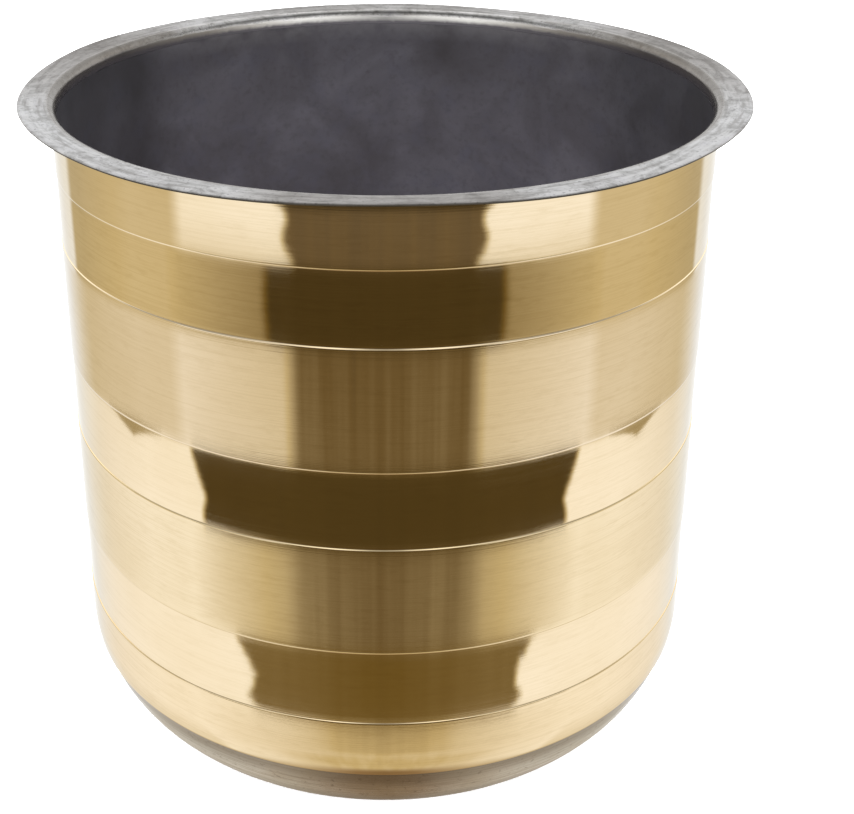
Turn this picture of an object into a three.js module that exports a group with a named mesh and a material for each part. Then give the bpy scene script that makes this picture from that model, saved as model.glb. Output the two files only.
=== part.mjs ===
// Planter pot in sheet metal: a spun steel shell with a bare steel base, wrapped in seven
// brass bands, with a dark coated liner inside and a flat galvanised flange round the mouth.
// Millimetres, +Z up, origin at the centre of the face that the pot stands on.
import * as THREE from 'three';

// ---- driving dimensions ----
const POT_HEIGHT = 297;
const FLANGE_RADIUS = 165;
const BRASS_RADIUS_AT_RIM = 150.9; // outside of a raised band, level with the rim
const WALL_TAPER = 0.0092; // fall of the radius for each millimetre down the wall

const RAISED_BAND_THICKNESS = 0.8;
const RECESSED_BAND_THICKNESS = 0.5;
const BAND_BEVEL = 0.25;
const SHELL_THICKNESS = 0.6;
const LINER_THICKNESS = 0.6;
const FLANGE_THICKNESS = 1;
const LAYER_GAP = 0.2; // between two sheets that lie one inside the other
const BUTT_GAP = 0.3; // between two pieces that meet end to end

const KNUCKLE_TOP = 40.5; // height where the wall starts to curve in to the base
const KNUCKLE_RADIUS = 54; // outside of the steel shell
const HEEL_RADIUS = 3; // tight bend between the knuckle and the flat base

const LIP_RADIUS = 4; // top bend of the flange, from its flat down into the mouth
const COLLAR_DEPTH = 7; // from the top of the flange to the lower end of its collar
const FLANGE_EDGE_BEVEL = 0.2;

// heights of the lines between neighbouring bands, from the flange down
const BAND_LINES = [265.5, 233.5, 178.3, 143.5, 92.4, 57.5];
const LOWEST_BAND_END = 29.1;

const TURNS = 64; // flats round a full turn, the same on every piece
const KNUCKLE_STEPS = 4;
const HEEL_STEPS = 2;
const LIP_STEPS = 4;

// ---- shared outlines: points are (radius, height) ----
const shellInset = RAISED_BAND_THICKNESS + LAYER_GAP;
const linerInset = shellInset + SHELL_THICKNESS + LAYER_GAP;
const mouthInset = linerInset + LINER_THICKNESS;

function wallRadius(height, inset) {
  return BRASS_RADIUS_AT_RIM - WALL_TAPER * (POT_HEIGHT - height) - inset;
}

const knuckleCentreRadius = wallRadius(KNUCKLE_TOP, shellInset) - KNUCKLE_RADIUS;

// outside radius of any layer at any height above the heel
function layerRadius(height, inset) {
  if (height >= KNUCKLE_TOP) {
    return wallRadius(height, inset);
  }
  const bend = KNUCKLE_RADIUS + shellInset - inset;
  const drop = KNUCKLE_TOP - height;
  return knuckleCentreRadius + Math.sqrt(bend * bend - drop * drop);
}

function arc(centreRadius, centreHeight, bend, from, to, steps) {
  const points = [];
  for (let i = 0; i <= steps; i += 1) {
    const angle = from + ((to - from) * i) / steps;
    const radius = centreRadius + bend * Math.cos(angle);
    points.push(new THREE.Vector2(radius, centreHeight + bend * Math.sin(angle)));
  }
  return points;
}

// wall, knuckle, heel and floor of one vessel face, from its top down to the axis
function vesselFace(topHeight, inset) {
  const deeper = inset - shellInset;
  const centreGap = KNUCKLE_RADIUS - HEEL_RADIUS;
  const heelRise = KNUCKLE_TOP - HEEL_RADIUS;
  const heelCentreRadius = knuckleCentreRadius + Math.sqrt(centreGap ** 2 - heelRise ** 2);
  const heelAngle = Math.asin(heelRise / centreGap);
  const knuckle = arc(
    knuckleCentreRadius, KNUCKLE_TOP, KNUCKLE_RADIUS - deeper, 0, -heelAngle, KNUCKLE_STEPS,
  );
  const heel = arc(
    heelCentreRadius, HEEL_RADIUS, HEEL_RADIUS - deeper, -heelAngle, -Math.PI / 2, HEEL_STEPS,
  );
  return [
    new THREE.Vector2(wallRadius(topHeight, inset), topHeight),
    ...knuckle,
    ...heel.slice(1),
    new THREE.Vector2(0, deeper),
  ];
}

function vesselProfile(topHeight, inset, thickness) {
  const outside = vesselFace(topHeight, inset);
  const inside = vesselFace(topHeight, inset + thickness);
  return [...outside.reverse(), ...inside];
}

// a band follows the wall; its outer edges are bevelled where it stands proud
function bandProfile(low, high, thickness, bevel) {
  const innerInset = RAISED_BAND_THICKNESS;
  const outerInset = innerInset - thickness;
  const heights = [low, high];
  if (low < KNUCKLE_TOP && high > KNUCKLE_TOP) {
    heights.splice(1, 0, KNUCKLE_TOP);
  }
  const inside = heights.map((z) => new THREE.Vector2(layerRadius(z, innerInset), z));
  const outside = [];
  for (const z of heights) {
    const radius = layerRadius(z, outerInset);
    if (bevel > 0 && z === low) {
      outside.push(new THREE.Vector2(radius - bevel, z));
      outside.push(new THREE.Vector2(layerRadius(z + bevel, outerInset), z + bevel));
    } else if (bevel > 0 && z === high) {
      outside.push(new THREE.Vector2(radius, z - bevel));
      outside.push(new THREE.Vector2(radius - bevel, z));
    } else {
      outside.push(new THREE.Vector2(radius, z));
    }
  }
  return [...outside, ...inside.reverse(), outside[0].clone()];
}

// flat ring, rounded lip and short collar of the flange, one sheet bent at the lip
const throatRadius = wallRadius(POT_HEIGHT, mouthInset);
const lipCentreRadius = throatRadius + LIP_RADIUS;
const lipCentreHeight = POT_HEIGHT - LIP_RADIUS;
const underLipRadius = LIP_RADIUS - FLANGE_THICKNESS;
const collarEnd = POT_HEIGHT - COLLAR_DEPTH;

function flangeProfile() {
  const top = POT_HEIGHT;
  const under = top - FLANGE_THICKNESS;
  const lip = arc(lipCentreRadius, lipCentreHeight, LIP_RADIUS, Math.PI / 2, Math.PI, LIP_STEPS);
  const underLip = arc(
    lipCentreRadius, lipCentreHeight, underLipRadius, Math.PI, Math.PI / 2, LIP_STEPS,
  );
  const outline = [
    new THREE.Vector2(FLANGE_RADIUS, under + FLANGE_EDGE_BEVEL),
    new THREE.Vector2(FLANGE_RADIUS, top - FLANGE_EDGE_BEVEL),
    new THREE.Vector2(FLANGE_RADIUS - FLANGE_EDGE_BEVEL, top),
    ...lip,
    new THREE.Vector2(throatRadius, collarEnd),
    new THREE.Vector2(throatRadius + FLANGE_THICKNESS, collarEnd),
    ...underLip,
    new THREE.Vector2(FLANGE_RADIUS - FLANGE_EDGE_BEVEL, under),
  ];
  return [...outline, outline[0].clone()];
}

// ---- finishes ----
const METAL = 1;
const NOT_METAL = 0;

const finishes = {
  brushedBrass: { color: 0xd0b78f, roughness: 0.32, metalness: METAL },
  polishedBrass: { color: 0xd9b978, roughness: 0.1, metalness: METAL },
  galvanisedSteel: { color: 0xb9b9b7, roughness: 0.45, metalness: METAL },
  bareSteel: { color: 0x8f8371, roughness: 0.4, metalness: METAL },
  darkCoating: { color: 0x46444a, roughness: 0.75, metalness: NOT_METAL },
};

// ---- pieces ----
const pot = new THREE.Group();

function addTurnedPiece(name, profile, finish) {
  const geometry = new THREE.LatheGeometry(profile, TURNS);
  geometry.rotateX(Math.PI / 2);
  const piece = new THREE.Mesh(geometry, new THREE.MeshStandardMaterial(finish));
  piece.name = name;
  pot.add(piece);
}

// highest point that a sheet at this inset reaches under the bend of the flange's lip
function heightUnderLip(inset) {
  const across = lipCentreRadius - wallRadius(lipCentreHeight, inset);
  return lipCentreHeight + Math.sqrt(underLipRadius ** 2 - across ** 2) - BUTT_GAP;
}

const linerProfile = vesselProfile(collarEnd - BUTT_GAP, linerInset, LINER_THICKNESS);
const shellProfile = vesselProfile(collarEnd - BUTT_GAP, shellInset, SHELL_THICKNESS);

addTurnedPiece('rim_flange', flangeProfile(), finishes.galvanisedSteel);
addTurnedPiece('inner_liner', linerProfile, finishes.darkCoating);
addTurnedPiece('steel_shell', shellProfile, finishes.bareSteel);

const bandTops = [heightUnderLip(RAISED_BAND_THICKNESS), ...BAND_LINES];
const bandEnds = [...BAND_LINES, LOWEST_BAND_END];
// the first band stands proud, the next lies deeper, and so on down the wall
bandTops.forEach((bandTop, index) => {
  const raised = index % 2 === 0;
  const high = bandTop - BUTT_GAP / 2;
  const low = bandEnds[index] + BUTT_GAP / 2;
  const thickness = raised ? RAISED_BAND_THICKNESS : RECESSED_BAND_THICKNESS;
  const profile = bandProfile(low, high, thickness, raised ? BAND_BEVEL : 0);
  const finish = raised ? finishes.brushedBrass : finishes.polishedBrass;
  addTurnedPiece(`brass_band_${index + 1}`, profile, finish);
});

export default pot;
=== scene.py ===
import math

import bpy
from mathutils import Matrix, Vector, noise


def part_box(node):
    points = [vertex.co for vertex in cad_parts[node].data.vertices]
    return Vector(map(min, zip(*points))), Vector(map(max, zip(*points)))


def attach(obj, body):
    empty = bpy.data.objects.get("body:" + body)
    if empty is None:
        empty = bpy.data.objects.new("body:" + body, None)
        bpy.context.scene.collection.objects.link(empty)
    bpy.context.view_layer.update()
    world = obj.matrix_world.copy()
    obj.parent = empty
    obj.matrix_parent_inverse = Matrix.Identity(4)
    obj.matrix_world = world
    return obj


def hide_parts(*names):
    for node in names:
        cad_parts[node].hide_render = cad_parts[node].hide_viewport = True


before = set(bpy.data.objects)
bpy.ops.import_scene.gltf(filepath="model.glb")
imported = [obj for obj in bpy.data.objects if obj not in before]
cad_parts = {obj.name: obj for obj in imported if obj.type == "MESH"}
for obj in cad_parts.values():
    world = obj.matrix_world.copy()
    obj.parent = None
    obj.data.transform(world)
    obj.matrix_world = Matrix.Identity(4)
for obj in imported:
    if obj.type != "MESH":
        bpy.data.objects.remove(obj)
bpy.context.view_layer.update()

# ---- sizes read from the frame ----
BAND_NAMES = ["brass_band_%d" % number for number in range(1, 8)]
BAND_BOXES = [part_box(name) for name in BAND_NAMES]
FLANGE_LOW, FLANGE_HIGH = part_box("rim_flange")
LINER_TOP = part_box("inner_liner")[1].z
SHELL_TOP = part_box("steel_shell")[1].z

RIM_HEIGHT = FLANGE_HIGH.z
FLANGE_RADIUS = FLANGE_HIGH.x
COLLAR_END = FLANGE_LOW.z
FIRST_BAND, FIFTH_BAND = BAND_BOXES[0][1], BAND_BOXES[4][1]  # upper corners of two raised bands
WALL_TAPER = (FIRST_BAND.x - FIFTH_BAND.x) / (FIRST_BAND.z - FIFTH_BAND.z)
BRASS_RADIUS_AT_RIM = FIRST_BAND.x + WALL_TAPER * (RIM_HEIGHT - FIRST_BAND.z)

# ---- sizes of the sheet work, in metres, as in the CAD ----
SHEET = 0.0006
FLANGE_SHEET = 0.001
LIP_RADIUS = 0.004
KNUCKLE_TOP = 0.0405
KNUCKLE_RADIUS = 0.054
HEEL_RADIUS = 0.003
BAND_STEP = 0.0003  # a recessed band's face lies this much inside a raised one's
BAND_SHEET = 0.0008
LAYER_GAP = 0.0002  # between sheets that lie on each other
SHELL_INSET = BAND_SHEET + LAYER_GAP
LINER_INSET = SHELL_INSET + SHEET + LAYER_GAP

# ---- sizes of the finer work that only this model has, in metres ----
EDGE_HEIGHT = 0.0009  # how far a raised band's rounded edge runs up its face
END_REACH = 0.00015  # how far a raised band's end reaches into the CAD's gap to the next one
TUCK = 0.002  # how far a recessed band's ends run on inside its raised neighbours' sheet
RECESSED_BACK = 0.00062  # how deep under the raised bands' faces a recessed band's back lies
SUPPORT = 0.00015  # gap to the extra row beside a rounded edge
WORN_OUT, WORN_DOWN = 0.0013, 0.0007  # the flange's worn outer edge: across it and down
FLANGE_WARP = 0.0007  # height of the lobes at the flange's outer edge
FLANGE_DISH = 0.0006  # how far the flange's plate falls towards the mouth
LINER_RISE = 0.0002  # closes most of the gap between the liner and the collar
BODY_RADIUS = 0.15  # nominal; it only scales the wander of the sheet

TURNS = 256  # steps round every turning
ROW_HEIGHT = 0.0025
ON_AXIS = 1e-9
SHARP_ANGLE = math.radians(50)
QUARTER_TURN = math.pi / 2
FULL_TURN = 2 * math.pi

# ---- camera: the picture's frame, with the pot's axis left of its centre ----
FOCAL_IN_WIDTHS = 1.797
SHIFT_ACROSS = 0.049
SHIFT_UP = -0.205
CAMERA_DISTANCE = 0.681
CAMERA_ABOVE_RIM = 0.1886
CAMERA_PITCH = 21.04


# ---- outlines: lists of (radius, height) ----
def wall_radius(height, inset):
    """Radius of the straight wall; inset is how deep under the raised brass a face lies."""
    return BRASS_RADIUS_AT_RIM - WALL_TAPER * (RIM_HEIGHT - height) - inset


KNUCKLE_CENTRE = wall_radius(KNUCKLE_TOP, SHELL_INSET) - KNUCKLE_RADIUS
THROAT_RADIUS = wall_radius(RIM_HEIGHT, LINER_INSET + SHEET)


def layer_radius(height, inset):
    """The same, with the knuckle under it."""
    if height >= KNUCKLE_TOP:
        return wall_radius(height, inset)
    bend = KNUCKLE_RADIUS + SHELL_INSET - inset
    drop = KNUCKLE_TOP - height
    return KNUCKLE_CENTRE + math.sqrt(bend * bend - drop * drop)


def arc(centre, bend, start, end, steps):
    angles = [start + (end - start) * i / steps for i in range(steps + 1)]
    return [(centre[0] + bend * math.cos(a), centre[1] + bend * math.sin(a)) for a in angles]


def vessel_face(top, inset):
    """Wall, knuckle, heel and floor of one face of a vessel, from its top to the axis."""
    deeper = inset - SHELL_INSET
    gap = KNUCKLE_RADIUS - HEEL_RADIUS
    rise = KNUCKLE_TOP - HEEL_RADIUS
    heel_centre = (KNUCKLE_CENTRE + math.sqrt(gap * gap - rise * rise), HEEL_RADIUS)
    heel_angle = math.asin(rise / gap)
    rows = 8
    heights = [top + (KNUCKLE_TOP - top) * i / rows for i in range(rows)]
    wall = [(wall_radius(height, inset), height) for height in heights]
    knuckle = arc((KNUCKLE_CENTRE, KNUCKLE_TOP), KNUCKLE_RADIUS - deeper, 0, -heel_angle, 14)
    heel = arc(heel_centre, HEEL_RADIUS - deeper, -heel_angle, -QUARTER_TURN, 6)
    floor_radius = heel[-1][0]
    floor = [(floor_radius * share, deeper) for share in (0.97, 0.8, 0.6, 0.4, 0.2, 0.05, 0.0)]
    return wall + knuckle + heel[1:] + floor


# ---- mesh work ----
def turned(name, outline, ripple=None):
    """Turns an outline about Z. The outline closes on itself, or starts and ends on the axis.
    ripple(angle, radius, height) gives a small shift outwards and upwards, so that
    hand-finished sheet isn't perfectly true."""
    vertices, rings = [], []
    for radius, height in outline:
        if radius < ON_AXIS:
            rings.append([len(vertices)] * TURNS)
            vertices.append((0.0, 0.0, height))
            continue
        ring = []
        for step in range(TURNS):
            angle = FULL_TURN * step / TURNS
            shift_out, shift_up = ripple(angle, radius, height) if ripple else (0.0, 0.0)
            out = radius + shift_out
            ring.append(len(vertices))
            vertices.append((out * math.cos(angle), out * math.sin(angle), height + shift_up))
        rings.append(ring)
    faces = []
    closed = outline[0][0] > ON_AXIS
    following = rings[1:] + rings[:1] if closed else rings[1:]
    for lower, upper in zip(rings, following):
        for step in range(TURNS):
            after = (step + 1) % TURNS
            corners = [lower[step], lower[after], upper[after], upper[step]]
            face = [c for i, c in enumerate(corners) if c not in corners[:i]]
            if len(face) > 2:
                faces.append(face)
    mesh = bpy.data.meshes.new(name)
    mesh.from_pydata(vertices, [], faces)
    mesh.polygons.foreach_set("use_smooth", [True] * len(mesh.polygons))
    mesh.set_sharp_from_angle(angle=SHARP_ANGLE)
    piece = bpy.data.objects.new(name, mesh)
    bpy.context.scene.collection.objects.link(piece)
    return piece


def wander(angle, height, size, depth, seed):
    """A smooth shift that runs round the turn without a seam. size is a bump's length."""
    around = BODY_RADIUS / size
    rise = height * BODY_RADIUS / size  # slow up the wall, so a straight wall stays straight
    point = Vector((math.cos(angle) * around + seed, math.sin(angle) * around, rise))
    return noise.noise(point) * depth


# ---- node helpers: a value is a number or another node's output ----
class Nodes:
    def __init__(self, tree):
        self.tree = tree

    def put(self, node, key, value):
        """Links an output to an input, or sets the input to a plain value."""
        if isinstance(value, bpy.types.NodeSocket):
            self.tree.links.new(value, node.inputs[key])
        else:
            node.inputs[key].default_value = value

    def add(self, kind, inputs=None, **settings):
        node = self.tree.nodes.new(kind)
        for key, value in settings.items():
            setattr(node, key, value)
        for key, value in (inputs or {}).items():
            self.put(node, key, value)
        return node

    def math(self, operation, a, b=0.0):
        return self.add("ShaderNodeMath", {0: a, 1: b}, operation=operation).outputs[0]

    def product(self, first, *others):
        for other in others:
            first = self.math("MULTIPLY", first, other)
        return first

    def total(self, first, *others):
        for other in others:
            first = self.math("ADD", first, other)
        return first

    def minus(self, first, second):
        return self.math("SUBTRACT", first, second)

    def remap(self, value, low, high, to_low=0.0, to_high=1.0, kind="LINEAR"):
        inputs = {
            "Value": value, "From Min": low, "From Max": high, "To Min": to_low, "To Max": to_high
        }
        return self.add("ShaderNodeMapRange", inputs, interpolation_type=kind).outputs["Result"]

    def eased(self, value, low, high, to_low=0.0, to_high=1.0):
        return self.remap(value, low, high, to_low, to_high, "SMOOTHSTEP")

    def ramp(self, value, stops):
        node = self.add("ShaderNodeValToRGB", {"Fac": value})
        elements = node.color_ramp.elements
        while len(elements) < len(stops):
            elements.new(0.5)
        for element, (place, colour) in zip(elements, stops):
            element.position = place
            element.color = (*colour, 1.0)
        return node.outputs["Color"]

    def curve(self, value, points):
        """Straight-line curve through (place, value) points, flat past its ends."""
        low, high = points[0][0], points[-1][0]
        node = self.add("ShaderNodeFloatCurve", {"Value": self.remap(value, low, high)})
        line = node.mapping.curves[0].points
        while len(line) < len(points):
            line.new(0.5, 0.5)
        for spot, (place, height) in zip(line, points):
            spot.location = ((place - low) / (high - low), height)
            spot.handle_type = "VECTOR"
        node.mapping.use_clip = False
        node.mapping.update()
        return node.outputs["Value"]

    def noise(self, vector, scale, detail=2.0, roughness=0.5, distortion=0.0):
        inputs = {
            "Vector": vector, "Scale": scale, "Detail": detail, "Roughness": roughness,
            "Distortion": distortion,
        }
        return self.add("ShaderNodeTexNoise", inputs).outputs["Fac"]

    def stretched(self, vector, scale):
        return self.add("ShaderNodeMapping", {"Vector": vector, "Scale": scale}).outputs[0]

    def axes(self, vector):
        return tuple(self.add("ShaderNodeSeparateXYZ", {"Vector": vector}).outputs)

    def vector(self, **parts):
        return self.add("ShaderNodeCombineXYZ", parts).outputs[0]

    def polar(self, vector, around, out, up=0.0):
        """Vector for patterns that follow the turn, with its scales round the turn, outwards
        and upwards. Gives the radius too."""
        x, y, z = self.axes(vector)
        flat = self.vector(X=x, Y=y)
        radius = self.add("ShaderNodeVectorMath", {0: flat}, operation="LENGTH").outputs["Value"]
        unit = self.add("ShaderNodeVectorMath", {0: flat}, operation="NORMALIZE").outputs[0]
        inputs = {0: unit, "Scale": around}
        ring = self.add("ShaderNodeVectorMath", inputs, operation="SCALE").outputs[0]
        rise = self.vector(Z=self.total(self.product(radius, out), self.product(z, up)))
        both = self.add("ShaderNodeVectorMath", {0: ring, 1: rise}, operation="ADD").outputs[0]
        return both, radius

    def from_front(self, x, y):
        """Angle about Z from the front: signed in radians, and its size in degrees."""
        signed = self.math("ARCTAN2", x, self.product(y, -1.0))
        return signed, self.math("DEGREES", self.math("ABSOLUTE", signed))

    # a Mix node's inputs: 0 is the share of the second value, 2 and 3 numbers, 6 and 7 colours
    def blend(self, share, first, second):
        inputs = {0: share, 2: first, 3: second}
        return self.add("ShaderNodeMix", inputs, data_type="FLOAT").outputs[0]

    def mix(self, share, first, second, blend="MIX"):
        inputs = {0: share}
        for key, colour in ((6, first), (7, second)):
            plain = not isinstance(colour, bpy.types.NodeSocket)
            inputs[key] = (*colour, 1.0) if plain else colour
        node = self.add("ShaderNodeMix", inputs, data_type="RGBA", blend_type=blend)
        return node.outputs[2]

    def grey(self, value):
        return self.add("ShaderNodeCombineColor", {0: value, 1: value, 2: value}).outputs[0]

    def bump(self, height, strength, distance, normal=None):
        inputs = {"Height": height, "Strength": strength, "Distance": distance}
        if normal is not None:
            inputs["Normal"] = normal
        return self.add("ShaderNodeBump", inputs).outputs["Normal"]


def new_material(name):
    material = bpy.data.materials.new(name)
    material.use_nodes = True
    tree = material.node_tree
    tree.nodes.clear()
    nodes = Nodes(tree)
    output = nodes.add("ShaderNodeOutputMaterial")
    shader = nodes.add("ShaderNodeBsdfPrincipled")
    tree.links.new(shader.outputs["BSDF"], output.inputs["Surface"])
    place = nodes.add("ShaderNodeTexCoord").outputs["Object"]
    return material, nodes, shader, place


# ---- materials ----
# how far each pattern is stretched round the turn and up the wall
HAIRLINES = (7.0, 7.0, 1900.0)
BRUSH_LINES = (4.0, 4.0, 900.0)
MOTTLE = (90.0, 90.0, 420.0)
WAVES = (22.0, 22.0, 7.0)
UPRIGHT_STREAKS = (70.0, 70.0, 3.0)


def shaded(colour, shares):
    return tuple(c * share for c, share in zip(colour, shares))


def brass(name, colour, roughness, haze, hairline, wave, grain, streak=0.0, brushing=0.0):
    """Brass sheet: tint and tarnish drift over the face, with hairlines round the turn.
    brushing stretches the gloss across the hairlines, as brushed sheet does."""
    material, nodes, shader, place = new_material(name)
    cloud = nodes.noise(place, 18.0, 3.0)
    lines = nodes.noise(nodes.stretched(place, HAIRLINES), 1.0, 2.0)
    coarse = nodes.noise(nodes.stretched(place, BRUSH_LINES), 1.0, 3.0)
    mottle = nodes.noise(nodes.stretched(place, MOTTLE), 1.0, 4.0, 0.65)
    worn = shaded(colour, (0.86, 0.83, 0.76))
    tint = nodes.mix(nodes.remap(cloud, 0.3, 0.7), colour, shaded(colour, (0.95, 0.93, 0.88)))
    tint = nodes.mix(nodes.remap(lines, 0.45, 0.8, 0.0, grain), tint, worn)
    tint = nodes.mix(nodes.remap(mottle, 0.5, 0.75, 0.0, grain), tint, worn)
    nodes.put(shader, "Base Color", tint)
    nodes.put(shader, "Metallic", 1.0)
    nodes.put(shader, "Anisotropic", brushing)
    nodes.put(shader, "Anisotropic Rotation", 0.25)
    fine = nodes.remap(coarse, 0.3, 0.7, -haze, haze)
    patch = nodes.remap(cloud, 0.35, 0.7, -haze * 0.6, haze * 0.6)
    rough = nodes.total(roughness, fine, patch)
    nodes.put(shader, "Roughness", nodes.math("MAXIMUM", rough, 0.02))
    soft = nodes.noise(nodes.stretched(place, WAVES), 1.0, 2.0)
    normal = nodes.bump(soft, wave, 0.001)
    if streak:
        upright = nodes.noise(nodes.stretched(place, UPRIGHT_STREAKS), 1.0, 3.0)
        normal = nodes.bump(upright, streak, 0.0001, normal)
    nodes.put(shader, "Normal", nodes.bump(lines, hairline, 0.00002, normal))
    return material


def zinc_tint(nodes, cloud, smear, grain):
    """Spangled zinc with darker and brighter smears, and pits."""
    tint = nodes.ramp(cloud, [
        (0.32, (0.38, 0.37, 0.36)), (0.45, (0.66, 0.66, 0.65)), (0.58, (0.90, 0.90, 0.90)),
        (0.72, (0.74, 0.74, 0.77)),
    ])
    tint = nodes.mix(nodes.remap(smear, 0.52, 0.64, 0.0, 0.55), tint, (0.42, 0.40, 0.38))
    tint = nodes.mix(nodes.remap(smear, 0.46, 0.36, 0.0, 0.6), tint, (0.97, 0.97, 0.96))
    return nodes.mix(nodes.remap(grain, 0.60, 0.70, 0.0, 0.6), tint, (0.22, 0.21, 0.22))


def galvanised_steel():
    """Zinc-grey flange: cloudy patches, smears that run round and pits; painted light and shade
    round the ring, on the lip and on the collar, and painted shade on the rounded outer edge and
    underside.
    """
    material, nodes, shader, place = new_material("galvanised_steel")
    ring, radius = nodes.polar(place, 7.0, 420.0)
    smear = nodes.noise(ring, 1.0, 3.0, 0.55, 0.3)
    cloud = nodes.noise(place, 95.0, 5.0, 0.72, 0.8)
    grain = nodes.noise(place, 700.0, 2.0, 0.5)
    x, y, height = nodes.axes(place)
    from_front = nodes.from_front(x, y)[1]
    lip_end = THROAT_RADIUS + LIP_RADIUS
    plate = nodes.remap(radius, lip_end - 0.001, lip_end + 0.001)
    tint = nodes.mix(plate, zinc_tint(nodes, cloud, smear, grain), (0.70, 0.70, 0.71), "MULTIPLY")

    # the zinc dulls and browns in slow patches round the ring, partly tarnish and partly painted
    # shade
    tarnish_and_shade = nodes.curve(from_front, [
        (0, 0.52), (13, 0.53), (21, 0.08), (60, 0.0), (74, 0.0), (96, 0.40), (118, 0.64),
        (140, 0.14), (168, 0.50), (180, 0.30),
    ])
    tarnish_and_shade = nodes.product(tarnish_and_shade, nodes.remap(plate, 0.0, 1.0, 0.4, 1.0))
    tint = nodes.mix(tarnish_and_shade, tint, (0.90, 0.83, 0.76), "MULTIPLY")
    tint = nodes.mix(nodes.product(tarnish_and_shade, 0.85), tint, (0.06, 0.052, 0.045))

    # painted shade: the roll of the lip is darkened at the sides and the front, and left clear near
    # the back
    lip_shade = nodes.curve(from_front, [
        (0, 0.82), (112, 0.86), (125, 0.80), (141, 0.36), (152, 0.12), (162, 0.0), (172, 0.22),
        (180, 0.42),
    ])
    lip_shade = nodes.product(lip_shade, nodes.remap(radius, lip_end + 0.001, lip_end - 0.001))
    tint = nodes.mix(lip_shade, tint, (0.11, 0.094, 0.076))

    # painted shade: the rounded outer edge darkens as it turns down, and the underside is dark
    facing = nodes.add("ShaderNodeNewGeometry").outputs["Normal"]
    upward = nodes.axes(facing)[2]
    edge_zone = nodes.remap(radius, FLANGE_RADIUS - 0.005, FLANGE_RADIUS - 0.002)
    edge = nodes.product(nodes.remap(upward, 0.985, 0.45), edge_zone)
    under = nodes.remap(upward, 0.0, -0.5)
    tint = nodes.mix(nodes.math("MAXIMUM", edge, under), tint, (0.10, 0.085, 0.065))

    # the collar is matt zinc, with painted light and shade round it: dark at the sides and front,
    # lightest near the back; the coating's ragged top edge laps over its foot
    ragged = nodes.total(height, nodes.remap(cloud, 0.3, 0.7, -0.0005, 0.0005))
    matt = nodes.remap(ragged, COLLAR_END + 0.0044, COLLAR_END + 0.0032)
    zinc = nodes.ramp(nodes.remap(from_front, 118.0, 180.0), [
        (0.0, (0.032, 0.028, 0.026)), (0.37, (0.13, 0.118, 0.104)), (0.55, (0.30, 0.285, 0.26)),
        (0.71, (0.50, 0.49, 0.465)), (0.87, (0.38, 0.37, 0.35)), (1.0, (0.21, 0.205, 0.195)),
    ])
    wiped = nodes.remap(ragged, COLLAR_END + 0.0024, COLLAR_END + 0.0006)
    # painted shade: the lapped coating is darker at the sides than at the back
    lapped_and_shaded = nodes.ramp(nodes.remap(from_front, 118.0, 160.0), [
        (0.0, (0.028, 0.025, 0.027)), (1.0, (0.080, 0.075, 0.082)),
    ])
    tint = nodes.mix(wiped, nodes.mix(matt, tint, zinc), lapped_and_shaded)
    nodes.put(shader, "Base Color", tint)
    nodes.put(shader, "Metallic", nodes.minus(1.0, matt))
    gloss = nodes.remap(smear, 0.3, 0.7, 0.18, 0.26)
    nodes.put(shader, "Roughness", nodes.total(gloss, nodes.product(plate, 0.18)))
    normal = nodes.bump(cloud, 0.35, 0.0004)
    nodes.put(shader, "Normal", nodes.bump(grain, 0.25, 0.0001, normal))
    return material


def bare_steel():
    """Spun steel: fine lines round the turn, with brownish patches; darker and browner higher up
    the knuckle, a painted shadow under the brass and painted shade at the heel.
    """
    material, nodes, shader, place = new_material("bare_steel")
    lines = nodes.noise(nodes.polar(place, 5.0, 700.0, 700.0)[0], 1.0, 3.0)
    cloud = nodes.noise(place, 34.0, 4.0, 0.6, 0.4)
    speck = nodes.noise(place, 420.0, 3.0, 0.6)
    tint = nodes.ramp(cloud, [
        (0.3, (0.66, 0.60, 0.52)), (0.5, (0.80, 0.78, 0.74)), (0.75, (0.83, 0.81, 0.78)),
    ])
    tint = nodes.mix(nodes.remap(lines, 0.45, 0.65, 0.0, 0.7), tint, (0.52, 0.47, 0.40))

    # up the knuckle, in metres: painted shade at the heel, darker and browner higher up, and a
    # painted shadow just under the brass
    height = nodes.axes(place)[2]
    ragged = nodes.total(height, nodes.remap(cloud, 0.3, 0.7, -0.002, 0.002))
    # darker and browner higher up the knuckle
    darker_higher = nodes.eased(ragged, 0.0165, 0.0265, 0.0, 0.66)
    tint = nodes.mix(darker_higher, tint, (0.30, 0.245, 0.18))
    # painted shadow: a dark line just under the brass hoop's foot
    shadow_under_brass = nodes.remap(height, 0.0272, 0.0290, 0.0, 0.5)
    tint = nodes.mix(shadow_under_brass, tint, (0.12, 0.09, 0.055))
    tint = nodes.mix(nodes.remap(speck, 0.60, 0.70, 0.0, 0.6), tint, (0.30, 0.25, 0.20))
    # painted shade at the heel, where the pot meets the floor
    heel_shade = nodes.remap(height, 0.0125, 0.0010, 0.0, 0.85)
    tint = nodes.mix(heel_shade, tint, (0.07, 0.055, 0.045))
    nodes.put(shader, "Base Color", tint)
    nodes.put(shader, "Metallic", 1.0)
    nodes.put(shader, "Roughness", nodes.remap(lines, 0.3, 0.7, 0.14, 0.26))
    nodes.put(shader, "Normal", nodes.bump(lines, 0.4, 0.00005))
    return material


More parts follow.
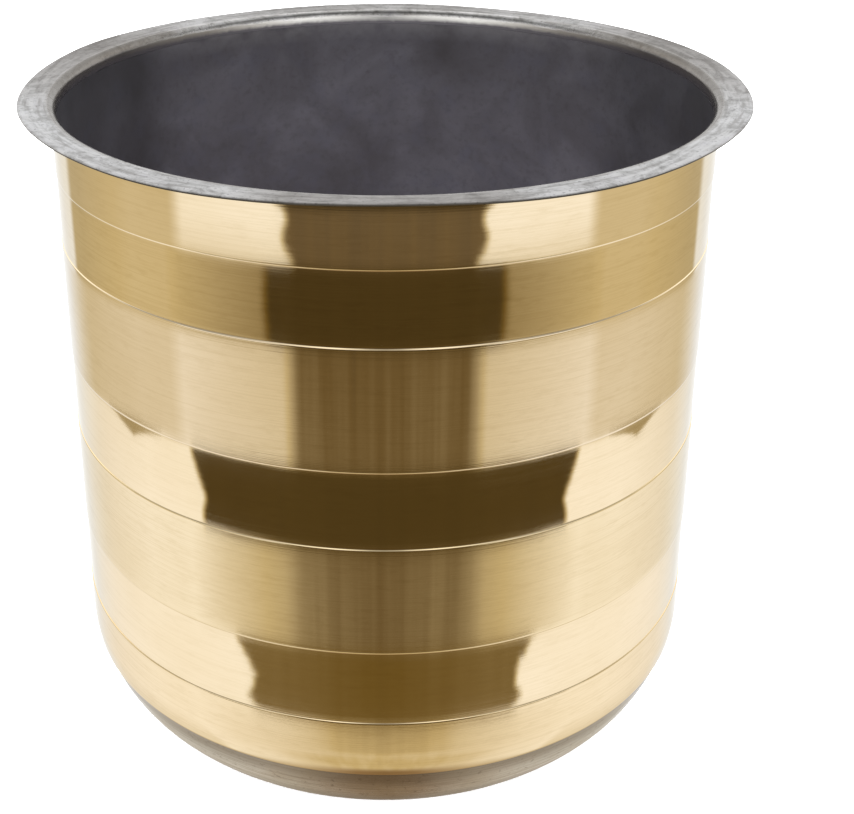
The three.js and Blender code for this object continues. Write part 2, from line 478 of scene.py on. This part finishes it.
def dark_coating():
    """Matt charcoal coating with a faint violet cast and a cloudy, uneven film."""
    material, nodes, shader, place = new_material("dark_coating")
    cloud = nodes.noise(place, 22.0, 5.0, 0.6, 0.5)
    blotch = nodes.noise(place, 60.0, 3.0, 0.6, 0.3)
    speck = nodes.noise(place, 300.0, 3.0, 0.6)
    tint = nodes.ramp(cloud, [
        (0.28, (0.044, 0.039, 0.044)), (0.5, (0.062, 0.057, 0.067)), (0.72, (0.086, 0.081, 0.096)),
    ])
    tint = nodes.mix(nodes.remap(blotch, 0.5, 0.75, 0.0, 0.5), tint, (0.058, 0.056, 0.076))
    tint = nodes.mix(nodes.remap(speck, 0.5, 0.75, 0.0, 0.35), tint, (0.036, 0.032, 0.035))

    # painted light: the film is made paler deeper down, to offset the shade that falls inside the
    # pot, and painted shade darkens it towards the sides of the back wall
    x, y, height = nodes.axes(place)
    from_middle = nodes.math("ABSOLUTE", x)
    deeper = nodes.remap(height, RIM_HEIGHT - 0.011, RIM_HEIGHT - 0.102, 0.62, 1.45)
    # painted shade towards the sides of the back wall
    side_shade = nodes.eased(from_middle, 0.100, 0.130, 1.0, 0.66)
    side_shade = nodes.math("MAXIMUM", side_shade, nodes.remap(y, 0.0, -0.06))
    tint = nodes.mix(1.0, tint, nodes.grey(nodes.product(deeper, side_shade)), "MULTIPLY")

    # painted highlight: a paler patch over the last centimetre below the collar, towards the middle
    # of the wall
    light_patch = nodes.product(
        nodes.remap(height, RIM_HEIGHT - 0.017, RIM_HEIGHT - 0.007),
        nodes.remap(blotch, 0.3, 0.6),
        nodes.remap(from_middle, 0.090, 0.125, 1.0, 0.0),
        0.6,
    )
    tint = nodes.mix(light_patch, tint, (0.10, 0.095, 0.098))
    nodes.put(shader, "Base Color", tint)
    nodes.put(shader, "Roughness", nodes.remap(cloud, 0.3, 0.7, 0.62, 0.8))
    nodes.put(shader, "Specular IOR Level", 0.3)
    nodes.put(shader, "Normal", nodes.bump(speck, 0.15, 0.0002))
    return material


# ---- pieces ----
def finish_piece(piece, material, node):
    piece.data.materials.append(material)
    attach(piece, "root")
    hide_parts(node)


def flange():
    """One sheet: flat ring, rounded lip and a short collar down into the mouth."""
    lip = (THROAT_RADIUS + LIP_RADIUS, RIM_HEIGHT - LIP_RADIUS)
    plate = FLANGE_RADIUS - WORN_OUT
    under = RIM_HEIGHT - FLANGE_SHEET
    burr = FLANGE_SHEET - WORN_DOWN
    rows = [plate + (lip[0] - plate) * i / 6 for i in range(7)]
    outline = arc((FLANGE_RADIUS - burr, under + burr), burr, -QUARTER_TURN, 0, 4)
    for across, rise in arc((0.0, 0.0), 1.0, 0, QUARTER_TURN, 8)[1:]:
        outline.append((plate + WORN_OUT * across, RIM_HEIGHT - WORN_DOWN + WORN_DOWN * rise))
    outline += [(plate - SUPPORT, RIM_HEIGHT)]
    outline += [(radius, RIM_HEIGHT) for radius in rows[1:-1]]
    outline += [(lip[0] + SUPPORT, RIM_HEIGHT)]
    outline += arc(lip, LIP_RADIUS, QUARTER_TURN, math.pi, 12)
    outline += [(THROAT_RADIUS, COLLAR_END), (THROAT_RADIUS + FLANGE_SHEET, COLLAR_END)]
    outline += arc(lip, LIP_RADIUS - FLANGE_SHEET, math.pi, QUARTER_TURN, 8)
    outline += [(radius, under) for radius in rows[-2:0:-1]]

    def ripple(angle, radius, height):
        share = max(0.0, (radius - lip[0]) / (FLANGE_RADIUS - lip[0]))
        from_front = math.atan2(math.cos(angle), -math.sin(angle))
        # six lobes round the flange, deepest at the front
        lobes = FLANGE_WARP * math.cos(6 * from_front) * (0.65 + 0.35 * math.cos(from_front))
        lift = (lobes + wander(angle, 0.0, 0.05, 0.0003, 3.0)) * share
        return 0.0, lift - FLANGE_DISH * (1.0 - share)

    return turned("rim_flange_sheet", outline, ripple)


def vessel(name, inset, top):
    outside = vessel_face(top, inset)
    inside = vessel_face(top, inset + SHEET)
    return turned(name, outside[::-1] + inside)


def rounded_edge(flat_end, direction, inset):
    """Points from a raised hoop's end to where its flat face starts; direction is 1 at the top
    and -1 at the foot."""
    steps = 5
    points = []
    for step in range(steps):
        turn = QUARTER_TURN * step / steps
        height = flat_end + direction * EDGE_HEIGHT * math.cos(turn)
        points.append((layer_radius(height, inset) - BAND_STEP * (1 - math.sin(turn)), height))
    return points


def band(index, depth):
    """A brass hoop. Raised hoops have rounded edges; the ends of recessed ones run on inside
    the raised ones' sheet, out of sight."""
    low, high = BAND_BOXES[index][0].z, BAND_BOXES[index][1].z
    raised = index % 2 == 0
    if raised:
        face, back = 0.0, BAND_SHEET
        low -= END_REACH
        high += END_REACH if index else -FLANGE_DISH  # the top hoop stays under the dished flange
        start, end = low + EDGE_HEIGHT, high - EDGE_HEIGHT
        foot, head = rounded_edge(start, -1, face), rounded_edge(end, 1, face)[::-1]
    else:
        face, back = BAND_STEP, RECESSED_BACK
        low -= TUCK
        high += TUCK
        start, end = low, high
        foot, head = [], []
    rows = max(8, int((high - low) / ROW_HEIGHT))
    heights = [start + (end - start) * i / rows for i in range(rows + 1)]
    heights[1:1] = [start + SUPPORT]  # close rows keep the flat face's shading true to its edges
    heights[-1:-1] = [end - SUPPORT]
    back_heights = [high + (low - high) * i / 6 for i in range(7)]
    outline = foot + [(layer_radius(height, face), height) for height in heights] + head
    outline += [(layer_radius(height, back), height) for height in back_heights]

    def ripple(angle, radius, height):
        return wander(angle, height, 0.035, depth, 7.0 * (index + 1)), 0.0

    return turned("brass_hoop_%d" % (index + 1), outline, ripple)


# ---- world: what the metal mirrors, and plain soft studio light for the rest ----
# The studio is laid out by azimuth, in degrees from the front to either side, and by "rise",
# the elevation that the front of the wall mirrors to the camera at a height.
def mirrored_at(height):
    drop = RIM_HEIGHT + CAMERA_ABOVE_RIM - height
    reach = CAMERA_DISTANCE - wall_radius(height, 0.0)
    return -math.degrees(math.atan2(drop, reach)) - 2 * math.degrees(math.atan(WALL_TAPER))


STUDIO_FOOT, STUDIO_HEAD = 0.020, 0.300  # the wall's part of the studio, as heights on it
LOW_END, HIGH_END = mirrored_at(STUDIO_FOOT), mirrored_at(STUDIO_HEAD)
BORDER = 0.0003  # half the height of the change from one hoop's part to the next
# how far above its own top edge each hoop's part starts, from the second hoop down: a polished
# hoop's part runs a little way on to its raised neighbours
OVERLAPS = [0.0006, -0.0013, 0.0007, -0.0013, 0.0007, -0.0013]
PART_TOPS = [STUDIO_HEAD] + [box[1].z + over for box, over in zip(BAND_BOXES[1:], OVERLAPS)]
PART_FEET = PART_TOPS[1:] + [STUDIO_FOOT]


def side_slopes():
    """The wall's sides are farther from the camera than its front, so they mirror a height at
    a flatter slope. Gives points of (azimuth, the front's slope over the slope there)."""
    middle = KNUCKLE_TOP + (RIM_HEIGHT - KNUCKLE_TOP) / 2
    out = wall_radius(middle, 0.0)
    eye = Vector((0.0, -CAMERA_DISTANCE, RIM_HEIGHT + CAMERA_ABOVE_RIM))
    front_slope = math.tan(math.radians(mirrored_at(middle)))
    points = []
    for degrees in range(0, 81, 8):
        turn = math.radians(degrees)
        facing = Vector((math.sin(turn), -math.cos(turn), -WALL_TAPER)).normalized()
        spot = Vector((out * math.sin(turn), -out * math.cos(turn), middle))
        back = (spot - eye).reflect(facing)
        slope = back.z / math.hypot(back.x, back.y)
        azimuth = math.degrees(math.atan2(back.x, -back.y))
        points.append((azimuth, front_slope / slope))
    return points + [(180, points[-1][1])]


class Studio:
    """The studio's nodes. Each method adds one feature and gives its output."""

    def __init__(self, tree):
        self.nodes = nodes = Nodes(tree)
        self.x, self.y, self.z = nodes.axes(nodes.add("ShaderNodeTexCoord").outputs["Generated"])
        self.signed, self.azimuth = nodes.from_front(self.x, self.y)
        elevation = nodes.math("ARCSINE", self.z)
        self.elevation = nodes.math("DEGREES", elevation)
        steeper = nodes.curve(self.azimuth, side_slopes())
        slope = nodes.product(nodes.math("TANGENT", elevation), steeper)
        self.rise = nodes.math("DEGREES", nodes.math("ARCTANGENT", slope))
        self.over_wall = nodes.math("GREATER_THAN", self.rise, HIGH_END)
        self.under_wall = nodes.math("LESS_THAN", self.rise, LOW_END)

    def by_height(self, below, hoops, above):
        """One value per hoop, or a list of (height, value) points for a hoop, with curves
        over the rises below and above the wall."""
        points = []
        for top, foot, hoop in zip(PART_TOPS, PART_FEET, hoops):
            inside = hoop if isinstance(hoop, list) else [(top, hoop), (foot, hoop)]
            points.append((mirrored_at(top - BORDER), inside[0][1]))
            points += [(mirrored_at(height), value) for height, value in inside[1:-1]]
            points.append((mirrored_at(foot + BORDER), inside[-1][1]))
        points = [(LOW_END, points[-1][1])] + points[::-1]
        points[-1] = (HIGH_END, points[-1][1])
        nodes = self.nodes
        wall = nodes.curve(self.rise, points)
        floor = nodes.curve(self.rise, below + points[:1])
        sky = nodes.curve(self.rise, points[-1:] + above)
        return nodes.blend(self.under_wall, nodes.blend(self.over_wall, wall, sky), floor)

    def outside_gap(self):
        """1 in the lights at the sides and 0 in the dark gap between them. Half the gap's width
        is a share of 90 degrees, and brushed sheet softens and ruffles its sides."""
        nodes = self.nodes
        width = self.by_height([(-90, 0.30), (-62, 0.30), (-46, 0.38)], [
            [(0.2955, 0.43), (0.2910, 0.39), (0.2880, 0.360), (0.2840, 0.358), (0.2780, 0.378),
             (0.2720, 0.362), (0.2655, 0.330)],
            [(0.2655, 0.450), (0.2500, 0.458), (0.2335, 0.450)],
            0.355,
            [(0.1783, 0.810), (0.1640, 0.771), (0.1560, 0.744), (0.1480, 0.763), (0.1435, 0.755)],
            0.36,
            [(0.0924, 0.640), (0.0860, 0.605), (0.0800, 0.575), (0.0750, 0.558), (0.0690, 0.564),
             (0.0630, 0.589), (0.0575, 0.54)],
            0.25,
        ], [(-12, 0.33), (0, 0.22), (45, 0.17), (90, 0.17)])
        soft = self.by_height(
            [(-90, 0.33)], [0.02, 0.03, 0.045, 0.018, 0.055, 0.018, 0.17],
            [(-18, 0.03), (0, 0.08), (90, 0.08)],
        )
        ragged = self.by_height(
            [(-90, 0.0)], [0.006, 0.008, 0.006, 0.007, 0.006, 0.022, 0.004], [(90, 0.0)],
        )
        ruffle = nodes.vector(X=nodes.product(self.rise, 5.0), Y=nodes.math("SIGN", self.x))
        ruffle = nodes.remap(nodes.noise(ruffle, 1.0, 3.0, 0.7), 0.3, 0.7, -1.0, 1.0)
        width = nodes.total(width, nodes.product(ruffle, ragged))
        share = nodes.math("DIVIDE", self.azimuth, 90.0)
        return nodes.eased(share, nodes.minus(width, soft), nodes.total(width, soft))

    def gap_level(self):
        """The gap's brightness: it climbs towards the gap's sides and is streaked upright."""
        nodes = self.nodes
        gap = self.by_height([(-90, 0.20), (-72, 0.22), (-66, 0.40), (-60, 0.66), (-50, 0.60)], [
            [(0.2955, 0.012), (0.2903, 0.016), (0.2885, 0.112), (0.2655, 0.112)],
            0.03,
            [(0.2335, 0.132), (0.1783, 0.152)],
            0.039,
            [(0.1435, 0.148), (0.0924, 0.162)],
            0.130,
            [(0.0575, 0.43), (0.0520, 0.48), (0.0440, 0.52), (0.0340, 0.63), (0.0201, 0.66)],
        ], [(-17, 0.06), (-14, 0.12), (-6, 0.15), (0, 0.3), (50, 0.38), (90, 0.38)])
        climb = self.by_height([(-90, 0.0)], [0.0, 0.0, 0.35, 0.1, 0.9, 0.42, 0.0], [(90, 0.0)])
        climb = nodes.product(climb, nodes.remap(self.azimuth, 6.0, 44.0))
        strength = self.by_height(
            [(-90, 0.1)], [0.16, 0.05, 0.28, 0.06, 0.20, 0.05, 0.08], [(90, 0.1)],
        )
        around = nodes.vector(X=self.signed, Y=nodes.product(self.rise, 0.004))
        streaks = nodes.remap(nodes.noise(around, 8.0, 3.0, 0.55), 0.32, 0.68, -1.0, 1.0)
        streaks = nodes.total(nodes.product(streaks, strength), 1.0)
        return nodes.product(gap, nodes.total(climb, 1.0), streaks)

    def side_level(self):
        """The lights' brightness: just beside the gap, square to the side, and past it."""
        nodes = self.nodes
        near = self.by_height(
            [(-90, 0.95)], [0.64, 0.24, 0.70, 1.0, 0.48, 1.0, 0.80], [(-14, 0.6), (90, 0.6)],
        )
        square = self.by_height(
            [(-90, 0.95)], [0.64, 0.57, 0.88, 1.02, 0.98, 1.04, 0.98], [(-14, 0.8), (90, 0.8)],
        )
        past = self.by_height(
            [(-90, 0.95), (-68, 0.92), (-60, 0.78), (-52, 0.88)],
            [0.64, 0.63, 0.76, 0.99, 0.96, 1.02, 0.98], [(-14, 0.8), (90, 0.8)],
        )
        side = nodes.blend(nodes.remap(self.azimuth, 34.0, 75.0), near, square)
        side = nodes.blend(nodes.remap(self.azimuth, 74.0, 80.0), side, past)
        fade = self.by_height(
            [(-90, 0.0)], [0.14, 0.12, 0.12, 0.12, 0.12, 0.08, 0.08], [(90, 0.0)],
        )
        side = nodes.minus(side, nodes.product(fade, nodes.remap(self.azimuth, 95.0, 128.0)))
        # a lighter patch beside the gap that only the top hoop mirrors
        patch = self.by_height([(-90, 0.0)], [
            [(0.2955, 1.0), (0.2840, 0.95), (0.2760, 0.8), (0.2655, 0.55)],
            0.0, 0.0, 0.0, 0.0, 0.0, 0.0,
        ], [(-12, 1.0), (-6, 0.0), (90, 0.0)])
        beside = nodes.eased(self.azimuth, 70.0, 77.0, 1.0, 0.0)
        return nodes.total(side, nodes.product(beside, patch, 0.36))

    def wedge(self):
        """A dull wedge that hangs from the foot of the first brushed hoop, round to the sides."""
        nodes = self.nodes
        line = mirrored_at(BAND_BOXES[3][1].z)
        hang = nodes.curve(self.azimuth, [
            (80, 0.0), (86, 0.0), (94, 0.2), (99, 0.40), (102, 0.56), (107, 0.34), (112, 0.14),
            (117, 0.0), (124, 0.0),
        ])
        edge = nodes.minus(self.rise, nodes.minus(line + 0.02, hang))
        return nodes.product(
            nodes.remap(edge, 0.0, 0.06, 0.0, 0.58),
            nodes.math("LESS_THAN", self.rise, line + 0.12),
            nodes.math("GREATER_THAN", hang, 0.01),
        )

    def brushed_veil(self, mirrored):
        """Brushed sheet never looks quite black: it gathers a little neutral light."""
        veil = self.by_height([(-90, 0.0)], [
            [(0.2955, 0.0), (0.2903, 0.1), (0.2885, 1.0), (0.2655, 0.9)],
            0.0, 0.5, 0.0, 0.8, 0.0, 0.0,
        ], [(90, 0.0)])
        return self.nodes.mix(veil, mirrored, (0.008, 0.018, 0.042), "ADD")

    def backdrop(self, mirrored):
        """At the very edge of the wall the metal mirrors the plain backdrop behind the pot."""
        nodes = self.nodes
        start = self.by_height(
            [(-90, 1.26)], [1.34, 1.35, 1.24, 1.18, 1.18, 1.20, 1.24], [(90, 1.34)],
        )
        reach = self.by_height(
            [(-90, 0.32)], [0.06, 0.05, 0.28, 0.32, 0.32, 0.32, 0.32], [(90, 0.06)],
        )
        edge = nodes.eased(nodes.product(self.azimuth, 0.01), start, nodes.total(start, reach))
        under_horizon = nodes.remap(self.elevation, -2.0, 3.0, 1.0, 0.0)
        on_wall = nodes.product(under_horizon, nodes.remap(self.rise, -50.0, -44.0))
        behind = nodes.remap(self.azimuth, 148.0, 158.0)
        plain = nodes.mix(behind, (0.88, 0.92, 0.99), (0.99, 1.03, 1.08))
        return nodes.mix(nodes.product(edge, on_wall), mirrored, plain)

    def ground(self, mirrored):
        """Steeply down, the azimuth means little: brightness grows away from the front."""
        nodes = self.nodes
        backward = nodes.product(nodes.math("MAXIMUM", self.y, 0.0), 0.3)
        away = nodes.total(nodes.math("ABSOLUTE", self.x), backward)
        colour = nodes.ramp(away, [
            (0.0, (0.250, 0.170, 0.095)), (0.12, (0.29, 0.205, 0.125)), (0.2, (0.39, 0.31, 0.225)),
            (0.28, (0.49, 0.42, 0.32)), (0.36, (0.62, 0.55, 0.45)), (0.5, (0.62, 0.57, 0.48)),
            (0.8, (0.70, 0.65, 0.56)), (1.0, (0.82, 0.78, 0.69)),
        ])
        limit = nodes.product(nodes.math("MAXIMUM", nodes.minus(self.azimuth, 80.0), 0.0), 0.15)
        steep = nodes.eased(nodes.minus(self.elevation, limit), -60.0, -54.0, 1.0, 0.0)
        return nodes.mix(steep, mirrored, colour)

    def overhead(self, mirrored):
        """Above the horizon: neutral. A lamp each side of the camera lights the lip of the mouth,
        it's dim overhead, and the backdrop greys the flange."""
        nodes = self.nodes
        lamps = nodes.curve(self.azimuth, [
            (0, 0.45), (5, 0.55), (10, 0.95), (16, 1.35), (21, 1.25), (27, 1.05), (34, 0.85),
            (44, 0.6), (60, 0.42), (90, 0.5), (105, 1.0), (120, 1.4), (150, 1.4), (180, 1.1),
        ])
        front = nodes.product(lamps, nodes.remap(self.elevation, 32.0, 76.0, 1.0, 0.24))
        back = nodes.remap(self.elevation, 38.0, 80.0, 1.08, 0.26)
        level = nodes.blend(nodes.eased(self.azimuth, 140.0, 158.0), front, back)
        above = nodes.eased(self.elevation, -17.0, -11.0)
        return nodes.mix(above, mirrored, nodes.grey(level))

    def mirrored(self):
        """The colour that a mirror ray meets."""
        nodes = self.nodes
        level = nodes.blend(self.outside_gap(), self.gap_level(), self.side_level())
        level = nodes.product(level, nodes.minus(1.0, self.wedge()))
        colour = nodes.ramp(level, [
            (0.0, (0.018, 0.013, 0.008)), (0.03, (0.072, 0.050, 0.018)),
            (0.13, (0.158, 0.106, 0.030)), (0.42, (0.432, 0.367, 0.235)),
            (0.60, (0.632, 0.553, 0.365)), (0.80, (0.825, 0.793, 0.730)), (1.0, (1.06, 1.09, 1.20)),
        ])
        colour = self.backdrop(self.brushed_veil(colour))
        return self.overhead(self.ground(colour))


def studio_world():
    world = bpy.data.worlds.new("studio")
    world.use_nodes = True
    world.cycles.sampling_method = "NONE"
    tree = world.node_tree
    tree.nodes.clear()
    studio = Studio(tree)
    nodes = studio.nodes
    path = nodes.add("ShaderNodeLightPath")
    light = nodes.mix(nodes.remap(studio.z, -0.2, 1.0), (2.8, 2.8, 2.8), (3.0, 3.0, 3.0))
    plain = nodes.mix(path.outputs["Is Camera Ray"], light, (1.0, 1.0, 1.0))  # the view is white
    colour = nodes.mix(path.outputs["Is Glossy Ray"], plain, studio.mirrored())
    background = nodes.add("ShaderNodeBackground", {"Color": colour, "Strength": 1.0})
    output = nodes.add("ShaderNodeOutputWorld")
    tree.links.new(background.outputs[0], output.inputs["Surface"])
    bpy.context.scene.world = world


def pale_floor():
    half = 4.0
    corners = [(-half, -half, 0), (half, -half, 0), (half, half, 0), (-half, half, 0)]
    mesh = bpy.data.meshes.new("floor")
    mesh.from_pydata(corners, [], [(0, 1, 2, 3)])
    floor = bpy.data.objects.new("floor", mesh)
    bpy.context.scene.collection.objects.link(floor)
    material, nodes, shader, _ = new_material("pale_floor")
    nodes.put(shader, "Base Color", (0.94, 0.94, 0.94, 1.0))
    nodes.put(shader, "Roughness", 1.0)
    nodes.put(shader, "Specular IOR Level", 0.0)
    # painted light: the floor glows a little, which lifts the pot's shadow off it
    nodes.put(shader, "Emission Color", (1.0, 1.0, 1.0, 1.0))
    nodes.put(shader, "Emission Strength", 0.5)  # hides the pot's shadow, as in the photo
    floor.data.materials.append(material)
    floor.visible_glossy = False


def studio_camera():
    data = bpy.data.cameras.new("camera")
    data.sensor_width = 36.0
    data.lens = FOCAL_IN_WIDTHS * data.sensor_width
    data.shift_x = SHIFT_ACROSS
    data.shift_y = SHIFT_UP
    camera = bpy.data.objects.new("camera", data)
    camera.location = (0.0, -CAMERA_DISTANCE, RIM_HEIGHT + CAMERA_ABOVE_RIM)
    camera.rotation_euler = (math.radians(90.0 - CAMERA_PITCH), 0.0, 0.0)
    bpy.context.scene.collection.objects.link(camera)
    bpy.context.scene.camera = camera


# ---- the pot ----
BRASS = (0.93, 0.76, 0.49)
POLISHED = dict(roughness=0.035, haze=0.008, hairline=0.04, wave=0.04, grain=0.45)
BRUSHED = dict(
    roughness=0.042, haze=0.005, hairline=0.10, wave=0.03, grain=0.7, streak=0.10, brushing=0.45
)
TOP_SATIN = dict(roughness=0.04, haze=0.01, hairline=0.05, wave=0.05, grain=0.6)
HOOPS = [  # depth of the surface's wander in metres, finish, tint
    (0.00006, TOP_SATIN, BRASS),
    (0.00006, dict(POLISHED, grain=0.8), BRASS),
    (0.00005, BRUSHED, (0.92, 0.76, 0.52)),
    (0.00008, POLISHED, BRASS),
    (0.00005, BRUSHED, (0.92, 0.75, 0.47)),
    (0.00008, POLISHED, BRASS),
    (0.00005, BRUSHED, (0.93, 0.75, 0.47)),
]


def build():
    for index, (depth, look, tint) in enumerate(HOOPS):
        slot = "brushed_brass" if index % 2 == 0 else "polished_brass"
        piece = band(index, depth)
        material = brass("%s_%d" % (slot, index + 1), tint, **look)
        finish_piece(piece, material, BAND_NAMES[index])
    finish_piece(flange(), galvanised_steel(), "rim_flange")
    liner = vessel("coated_liner", LINER_INSET, LINER_TOP - FLANGE_DISH + LINER_RISE)
    finish_piece(liner, dark_coating(), "inner_liner")
    shell = vessel("spun_shell", SHELL_INSET, SHELL_TOP - FLANGE_DISH)
    finish_piece(shell, bare_steel(), "steel_shell")


studio_camera()
studio_world()
pale_floor()
build()
bpy.context.scene.view_settings.view_transform = "Standard"
